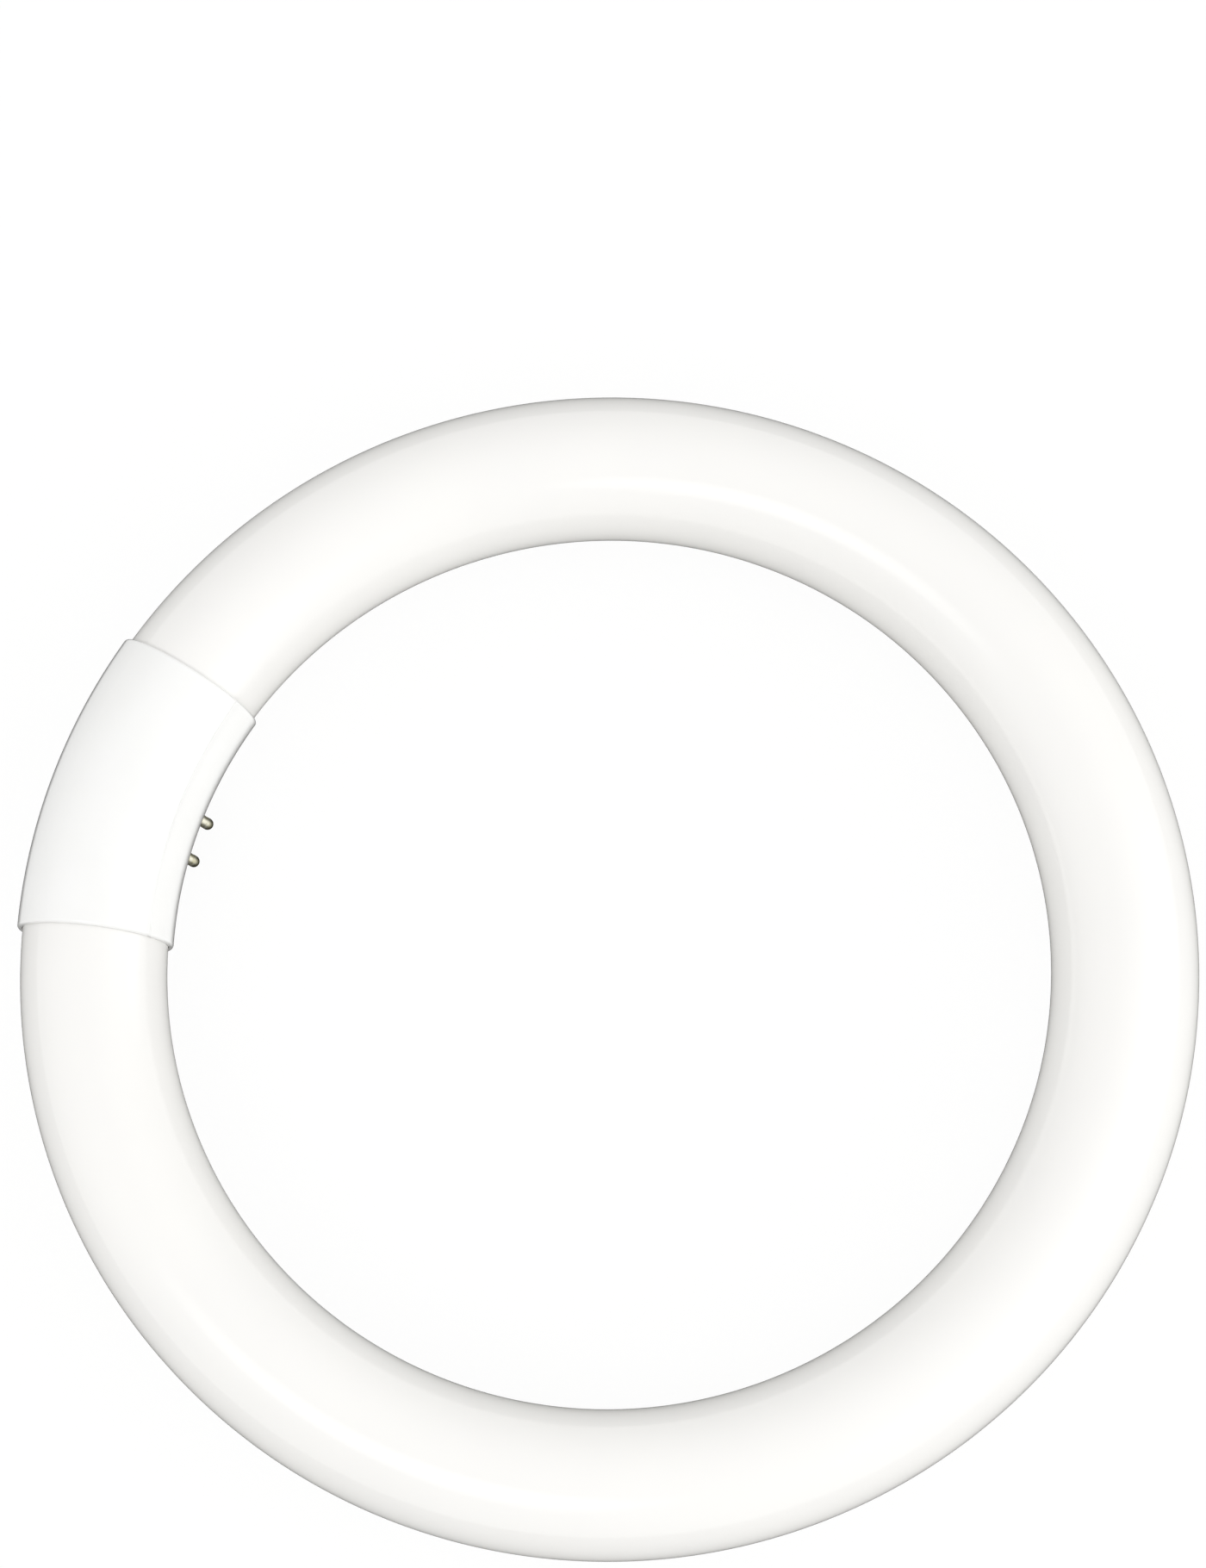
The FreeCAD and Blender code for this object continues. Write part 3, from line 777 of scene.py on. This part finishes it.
@dataclass
class Contacts:
    """The four turned contact pins, hollow and domed, each staked onto its lead by two dents."""

    collar: float = 1.7 * MM
    collar_thickness: float = 0.6 * MM
    shank: float = 1.35 * MM
    shank_length: float = 3.2 * MM
    tail: float = 0.8 * MM
    bore: float = 0.475 * MM
    tip_wall: float = 0.6 * MM
    dome_steps: int = 10
    steps_around: int = 48
    barrel_steps: int = 24
    dent_from_tip: float = 2.6 * MM
    dent_reach: float = 0.7 * MM
    dent_depth: float = 0.14 * MM

    def __post_init__(self) -> None:
        """Reads the pins' places and sizes from the record's mounts."""
        mounts = [m for m in frame["record"]["mounts"] if m["name"].startswith("contact_")]
        places = [Vector(mount["pos_m"]) for mount in mounts]
        self.direction = Vector(mounts[0]["axis"]).normalized()
        self.radius = mounts[0]["dims"]["r_mm"] * MM
        self.straight = mounts[0]["dims"]["length_mm"] * MM
        self.centre = sum(places, Vector()) / len(places)
        self.pitch_across = (places[0] - places[1]).length
        self.pitch_along = (places[1] - places[2]).length
        self.turn = math.atan2(self.direction.x, self.direction.z)
        self.tip = self.centre.dot(self.direction) + self.straight / 2 + self.radius
        self.nodes = tuple(mount["name"].replace("contact", "contact_pin") for mount in mounts)

    def outline(self) -> list[tuple[float, float]]:
        """Half of the pin's section, from its bore's end round to its tip.

        Returns:
            Radius and height of each point, with the straight part's middle at height 0.
        """
        top = self.straight / 2
        seat = -top
        under = seat - self.shank_length
        tail = under - self.collar_thickness - self.tail
        bore_end = top + self.radius - self.tip_wall
        barrel = [
            (self.radius, seat + self.straight * step / self.barrel_steps)
            for step in range(self.barrel_steps + 1)
        ]
        quarter = math.pi / 2 / self.dome_steps
        dome = [
            (self.radius * math.cos(quarter * step), top + self.radius * math.sin(quarter * step))
            for step in range(1, self.dome_steps)
        ]
        return [
            (0.0, bore_end),
            (self.bore, bore_end),
            (self.bore, tail),
            (self.radius, tail),
            (self.radius, under - self.collar_thickness),
            (self.collar, under - self.collar_thickness),
            (self.collar, under),
            (self.shank, under),
            (self.shank, seat),
            *barrel,
            *dome,
            (0.0, top + self.radius),
        ]

    def pins_tree(self) -> bpy.types.NodeTree:
        """The geometry nodes that turn one pin, dent it and set four on their rectangle.

        Returns:
            The tree, with an input for each size.
        """
        tree = bpy.data.node_groups.new("TurnedPins", "GeometryNodeTree")
        tree.interface.new_socket("Geometry", in_out="OUTPUT", socket_type="NodeSocketGeometry")
        tree.interface.new_socket("Outline", in_out="INPUT", socket_type="NodeSocketGeometry")
        for name in ("Pitch Along", "Pitch Across", "Turn", "Dent Height", "Dent Reach", "Dent Depth"):
            tree.interface.new_socket(name, in_out="INPUT", socket_type="NodeSocketFloat")
        tree.interface.new_socket("Centre", in_out="INPUT", socket_type="NodeSocketVector")
        tree.interface.new_socket("Steps Around", in_out="INPUT", socket_type="NodeSocketInt")
        tree.interface.new_socket("Material", in_out="INPUT", socket_type="NodeSocketMaterial")
        given = add_node(tree, "NodeGroupInput").outputs
        pin = self.turned_pin(tree, given)
        dented = self.dented_pin(tree, given, pin)
        square = add_node(
            tree,
            "GeometryNodeMeshGrid",
            {
                "Size X": given["Pitch Across"],
                "Size Y": given["Pitch Along"],
                "Vertices X": 2,
                "Vertices Y": 2,
            },
        )
        four = add_node(
            tree, "GeometryNodeInstanceOnPoints", {"Points": square.outputs["Mesh"], "Instance": dented}
        )
        turn = add_node(
            tree,
            "FunctionNodeAxisAngleToRotation",
            {"Axis": (0.0, 1.0, 0.0), "Angle": given["Turn"]},
        )
        placed = add_node(
            tree,
            "GeometryNodeTransform",
            {
                "Geometry": four.outputs["Instances"],
                "Translation": given["Centre"],
                "Rotation": turn.outputs["Rotation"],
            },
        )
        real = add_node(
            tree, "GeometryNodeRealizeInstances", {"Geometry": placed.outputs["Geometry"]}
        )
        dressed = add_node(
            tree,
            "GeometryNodeSetMaterial",
            {"Geometry": real.outputs["Geometry"], "Material": given["Material"]},
        )
        add_node(tree, "NodeGroupOutput", {"Geometry": dressed.outputs["Geometry"]})
        return tree

    def turned_pin(
        self, tree: bpy.types.NodeTree, given: bpy.types.bpy_prop_collection
    ) -> bpy.types.NodeSocket:
        """Turns the outline about Z: it runs round a 1 m circle, moved in by as much.

        Args:
            tree: The pins' tree.
            given: The tree's inputs.

        Returns:
            The pin's mesh.
        """
        profile = add_node(tree, "GeometryNodeMeshToCurve", {"Mesh": given["Outline"]})
        circle = add_node(
            tree,
            "GeometryNodeCurvePrimitiveCircle",
            {"Resolution": given["Steps Around"], "Radius": 1.0},
        )
        swept = add_node(
            tree,
            "GeometryNodeCurveToMesh",
            {"Curve": circle.outputs["Curve"], "Profile Curve": profile.outputs["Curve"]},
        )
        spot = add_node(tree, "GeometryNodeInputPosition").outputs["Position"]
        flat = add_node(tree, "ShaderNodeVectorMath", {0: spot, 1: (1.0, 1.0, 0.0)}, operation="MULTIPLY")
        inward = add_node(
            tree, "ShaderNodeVectorMath", {0: flat.outputs["Vector"]}, operation="NORMALIZE"
        )
        true = add_node(
            tree,
            "ShaderNodeVectorMath",
            {0: spot, 1: inward.outputs["Vector"]},
            operation="SUBTRACT",
        )
        moved = add_node(
            tree,
            "GeometryNodeSetPosition",
            {"Geometry": swept.outputs["Mesh"], "Position": true.outputs["Vector"]},
        )
        return moved.outputs["Geometry"]

    def dented_pin(
        self,
        tree: bpy.types.NodeTree,
        given: bpy.types.bpy_prop_collection,
        pin: bpy.types.NodeSocket,
    ) -> bpy.types.NodeSocket:
        """Presses the two dents that stake the pin onto its lead, on opposite sides.

        Args:
            tree: The pins' tree.
            given: The tree's inputs.
            pin: The pin's mesh.

        Returns:
            The dented mesh.
        """
        spot = add_node(tree, "GeometryNodeInputPosition").outputs["Position"]
        along = add_node(tree, "ShaderNodeSeparateXYZ", {"Vector": spot}).outputs
        height = add_node(
            tree, "ShaderNodeMath", {0: along["Z"], 1: given["Dent Height"]}, operation="SUBTRACT"
        )
        aside = add_node(tree, "ShaderNodeCombineXYZ", {"X": along["X"], "Z": height})
        distance = add_node(
            tree, "ShaderNodeVectorMath", {0: aside.outputs["Vector"]}, operation="LENGTH"
        )
        press = add_node(
            tree,
            "ShaderNodeMapRange",
            {
                "Value": distance.outputs["Value"],
                "From Max": given["Dent Reach"],
                "To Min": given["Dent Depth"],
                "To Max": 0.0,
            },
            interpolation_type="SMOOTHSTEP",
        )
        side = add_node(tree, "ShaderNodeMath", {0: along["Y"]}, operation="SIGN")
        push = add_node(
            tree,
            "ShaderNodeMath",
            {0: press.outputs["Result"], 1: side},
            operation="MULTIPLY",
        )
        back = add_node(tree, "ShaderNodeMath", {0: push, 1: -1.0}, operation="MULTIPLY")
        shift = add_node(tree, "ShaderNodeCombineXYZ", {"Y": back})
        moved = add_node(
            tree, "GeometryNodeSetPosition", {"Geometry": pin, "Offset": shift.outputs["Vector"]}
        )
        return moved.outputs["Geometry"]

    def build(self, materials: dict[Slot, bpy.types.Material]) -> bpy.types.Object:
        """Turns the pins and closes their tips.

        Args:
            materials: The material of each slot.

        Returns:
            The four pins as one piece.
        """
        holder = linked("pin_outline", bpy.data.meshes.new("pin_outline"))
        # Swept round the circle, the outline's Y points down
        points = [(-radius, -height, 0.0) for radius, height in self.outline()]
        steps = [(number, number + 1) for number in range(len(points) - 1)]
        holder.data.from_pydata(points, steps, [])
        modifier = holder.modifiers.new("TurnedPins", "NODES")
        modifier.node_group = self.pins_tree()
        values = {
            "Pitch Along": self.pitch_along,
            "Pitch Across": self.pitch_across,
            "Turn": self.turn,
            "Dent Height": self.straight / 2 + self.radius - self.dent_from_tip,
            "Dent Reach": self.dent_reach,
            "Dent Depth": self.dent_depth,
            "Centre": self.centre,
            "Steps Around": self.steps_around,
            "Material": materials[Slot.PIN_BRASS],
        }
        made = evaluated(holder, modifier, values)
        close_and_smooth(made)
        return finished_piece(linked("contact_pins", made), Slot.PIN_BRASS, materials, *self.nodes)


@dataclass
class Viewpoint:
    """Where the lamp is seen from: nearly along the ring's axis, from a hand's reach above."""

    image_width: int = 1400
    image_height: int = 1820
    focal_pixels: float = 5000.0
    sensor: float = 36.0
    distance: float = 822.67 * MM
    right_of_axis: float = 0.944 * MM
    above_axis: float = -34.362 * MM
    pitch: float = math.radians(-12.707)
    yaw: float = math.radians(-1.418)
    # How far the cap is turned round the ring from where the picture shows it
    cap_turn: float = math.radians(18.95)

    def axes(self) -> Matrix:
        """The camera's own axes as columns, in the lamp's frame."""
        tilt = Matrix.Rotation(self.pitch, 3, "X") @ Matrix.Rotation(self.yaw, 3, "Y")
        return Matrix.Rotation(self.cap_turn, 3, "Z") @ tilt.transposed()

    def place(self, ring_centre: Vector) -> bpy.types.Object:
        """Makes the camera.

        Args:
            ring_centre: The middle of the ring.

        Returns:
            The camera.
        """
        data = bpy.data.cameras.new("viewpoint")
        data.sensor_width = self.sensor
        data.lens = self.focal_pixels * self.sensor / max(self.image_width, self.image_height)
        camera = bpy.data.objects.new("viewpoint", data)
        bpy.context.scene.collection.objects.link(camera)
        axes = self.axes()
        offset = Vector((self.right_of_axis, self.above_axis, -self.distance))
        camera.matrix_world = Matrix.Translation(ring_centre - axes @ offset) @ axes.to_4x4()
        bpy.context.scene.camera = camera
        return camera


@dataclass(frozen=True)
class Softbox:
    """A soft lamp that points at the ring from beside the camera.

    Its depth runs away from the line of sight and its length round it.
    """

    name: str
    # Degrees from the line of sight
    off_axis: float
    # Degrees clockwise in the picture, from its right side
    clock: float
    distance: float
    depth: float
    length: float
    watts: float

    # The hump u (1 - u) has a mean of 1/6 each way, so this keeps the lamp's watts
    PEAK: ClassVar[float] = 36.0

    def fade(self, data: bpy.types.AreaLight) -> None:
        """Makes the cloth of the softbox brightest in its middle and dark at its rim.

        Args:
            data: The lamp.
        """
        data.use_nodes = True
        tree = data.node_tree
        tree.nodes.clear()
        across = add_node(tree, "ShaderNodeNewGeometry").outputs["Parametric"]
        sides = add_node(tree, "ShaderNodeSeparateXYZ", {"Vector": across}).outputs
        level = self.PEAK
        for side in (sides["X"], sides["Y"]):
            rest = add_node(tree, "ShaderNodeMath", {0: 1.0, 1: side}, operation="SUBTRACT")
            hump = add_node(tree, "ShaderNodeMath", {0: side, 1: rest}, operation="MULTIPLY")
            level = add_node(tree, "ShaderNodeMath", {0: hump, 1: level}, operation="MULTIPLY")
        cloth = add_node(tree, "ShaderNodeEmission", {"Strength": level})
        add_node(tree, "ShaderNodeOutputLight", {"Surface": cloth})

    def place(self, ring_centre: Vector, axes: Matrix) -> None:
        """Makes the lamp and points it at the ring.

        Args:
            ring_centre: The middle of the ring.
            axes: The camera's axes as columns.
        """
        data = bpy.data.lights.new(self.name, "AREA")
        data.shape = "RECTANGLE"
        data.size = self.depth
        data.size_y = self.length
        data.energy = self.watts
        self.fade(data)
        lamp = bpy.data.objects.new(self.name, data)
        bpy.context.scene.collection.objects.link(lamp)
        clock, lean = math.radians(-self.clock), math.radians(self.off_axis)
        turn = Matrix.Rotation(clock, 3, "Z") @ Matrix.Rotation(lean, 3, "Y")
        own_axes = axes @ turn
        spot = ring_centre + own_axes.col[2] * self.distance
        lamp.matrix_world = Matrix.Translation(spot) @ own_axes.to_4x4()


@dataclass
class Studio:
    """The pale table, the soft lamps and the pale room round them."""

    ring: float
    table_size: float = 6.0
    table_colour: str = "#E4E4E2"
    # Painted shade that reflections find instead of the table's own colour: it draws the fine dark edge
    # round white things
    reflected_shade_colour: str = "#1A1A1A"
    white_level: float = 1.03
    room_colour: str = "#FFFFFF"
    room_level: float = 0.755
    white_to_camera: float = 0.9
    # What soft reflections find past the painted shade round the tube: white inside the ring, grey
    # outside
    white_inside: float = 1.0
    white_outside: float = 0.65
    # Where that painted shade ends, first a little and then all of it, measured from the tube's
    # centreline
    dark_inside: tuple[float, float] = (20 * MM, 30 * MM)
    dark_outside: tuple[float, float] = (33 * MM, 40 * MM)
    # The search for the tilt at which the lamp rests
    steepest: float = math.radians(10)
    halvings: int = 40
    # Each with its name, both its angles, its distance, depth and length, and its watts
    softboxes: tuple[Softbox, ...] = (
        Softbox("right_bank", 50, 3, 1.4, 1.9, 1.9, 5.3),
        Softbox("low_bank", 72, 3, 1.4, 0.75, 1.6, 2.2),
        Softbox("left_bank", 50, 188, 1.4, 1.9, 1.9, 2.5),
        Softbox("key_bank", 24, 136, 1.4, 0.66, 1.2, 2.2),
    )

    def resting_plane(self) -> tuple[float, float]:
        """The plane that the lower pins and the far side of the glass both touch.

        Returns:
            Its tilt about Y, and its height over the origin along its normal.
        """
        pins = node_points("contact_pin_1")
        glass = node_points("glass_tube")

        def lowest(points: np.ndarray, tilt: float) -> float:
            """How low the points reach, square to a plane of that tilt."""
            return float(np.min(points[:, 2] * math.cos(tilt) - points[:, 0] * math.sin(tilt)))

        flat, steep = 0.0, self.steepest
        for _ in range(self.halvings):
            tilt = (flat + steep) / 2
            if lowest(glass, tilt) > lowest(pins, tilt):
                flat = tilt
            else:
                steep = tilt
        return tilt, lowest(pins, tilt)

    def white_share(
        self, tree: bpy.types.NodeTree, path: bpy.types.bpy_prop_collection
    ) -> bpy.types.Node:
        """How much of plain white a ray sees: a sharp reflection none, a soft one past the painted shade
        round the tube.

        Args:
            tree: The table's material.
            path: The outputs of its Light Path node.

        Returns:
            The node that gives the share, from 0 to 1.
        """
        spot = add_node(tree, "ShaderNodeTexCoord").outputs["Object"]
        from_axis = add_node(tree, "ShaderNodeVectorMath", {0: spot}, operation="LENGTH")
        outside = add_node(
            tree, "ShaderNodeMath", {0: from_axis.outputs["Value"], 1: self.ring}, operation="SUBTRACT"
        )
        inside = add_node(tree, "ShaderNodeMath", {0: outside, 1: -1.0}, operation="MULTIPLY")
        shares = []
        for aside, dark, white in (
            (inside, self.dark_inside, self.white_inside),
            (outside, self.dark_outside, self.white_outside),
        ):
            values = {"Value": aside, "From Min": dark[0], "From Max": dark[1], "To Max": white}
            shares.append(add_node(tree, "ShaderNodeMapRange", values))
        past_dark = add_node(tree, "ShaderNodeMath", {0: shares[0], 1: shares[1]}, operation="MAXIMUM")
        seen = add_node(
            tree,
            "ShaderNodeMath",
            {0: path["Is Camera Ray"], 1: path["Is Transmission Ray"]},
            operation="MAXIMUM",
        )
        soft = add_node(
            tree,
            "ShaderNodeMath",
            {0: path["Is Glossy Ray"], 1: path["Is Singular Ray"]},
            operation="GREATER_THAN",
        )
        direct = add_node(
            tree, "ShaderNodeMath", {0: seen, 1: self.white_to_camera}, operation="MULTIPLY"
        )
        reflected = add_node(tree, "ShaderNodeMath", {0: soft, 1: past_dark}, operation="MULTIPLY")
        return add_node(tree, "ShaderNodeMath", {0: direct, 1: reflected}, operation="MAXIMUM")

    def table(self) -> bpy.types.Object:
        """The pale table, tilted to meet the lamp where it rests."""
        tilt, height = self.resting_plane()
        half = self.table_size / 2
        corners = [(-half, -half), (half, -half), (half, half), (-half, half)]
        turn = Matrix.Rotation(-tilt, 3, "Y")
        mesh = bpy.data.meshes.new("table")
        mesh.from_pydata([turn @ Vector((x, y, height)) for x, y in corners], [], [(0, 1, 2, 3)])
        made = bpy.data.materials.new("pale_table")
        made.use_nodes = True
        tree = made.node_tree
        tree.nodes.clear()
        path = add_node(tree, "ShaderNodeLightPath").outputs
        # Glossy rays find the painted shade colour instead of the table's own
        colour = add_node(
            tree,
            "ShaderNodeMix",
            {
                "Factor": path["Is Glossy Ray"],
                6: linear(self.table_colour),
                7: linear(self.reflected_shade_colour),
            },
            data_type="RGBA",
        )
        paint = add_node(tree, "ShaderNodeBsdfDiffuse", {"Color": colour.outputs[2]})
        white = add_node(tree, "ShaderNodeEmission", {"Strength": self.white_level})
        both = add_node(
            tree,
            "ShaderNodeMixShader",
            {0: self.white_share(tree, path), 1: paint, 2: white},
        )
        add_node(tree, "ShaderNodeOutputMaterial", {"Surface": both})
        mesh.materials.append(made)
        LOG.info("table: tilted %.2f degrees", math.degrees(tilt))
        return linked("table", mesh)

    def room(self) -> None:
        """The pale room, plain white behind the lamp."""
        world = bpy.data.worlds.new("room")
        bpy.context.scene.world = world
        world.use_nodes = True
        tree = world.node_tree
        tree.nodes.clear()
        path = add_node(tree, "ShaderNodeLightPath").outputs
        level = add_node(
            tree,
            "ShaderNodeMapRange",
            {"Value": path["Is Camera Ray"], "To Min": self.room_level, "To Max": 1.0},
        )
        back = add_node(
            tree,
            "ShaderNodeBackground",
            {"Color": linear(self.room_colour), "Strength": level.outputs["Result"]},
        )
        add_node(tree, "ShaderNodeOutputWorld", {"Surface": back.outputs["Background"]})

    def build(self, ring_centre: Vector, axes: Matrix) -> None:
        """Sets the table, the lamps and the room.

        Args:
            ring_centre: The middle of the ring.
            axes: The camera's axes as columns.
        """
        self.table()
        for softbox in self.softboxes:
            softbox.place(ring_centre, axes)
        self.room()
        bpy.context.scene.view_settings.view_transform = "Standard"


def main() -> None:
    """Builds the lamp's looks and the studio."""
    logging.basicConfig(level=logging.INFO, format="%(name)s: %(message)s")
    ring = GlassRing()
    contacts = Contacts()
    materials = build_materials(contacts)
    ring.build(materials)
    Cap().build(materials)
    contacts.build(materials)
    Leads().build(materials)
    viewpoint = Viewpoint()
    ring_centre = Vector((0, 0, ring.height))
    viewpoint.place(ring_centre)
    Studio(ring.ring).build(ring_centre, viewpoint.axes())


if __name__ == "__main__":
    main()
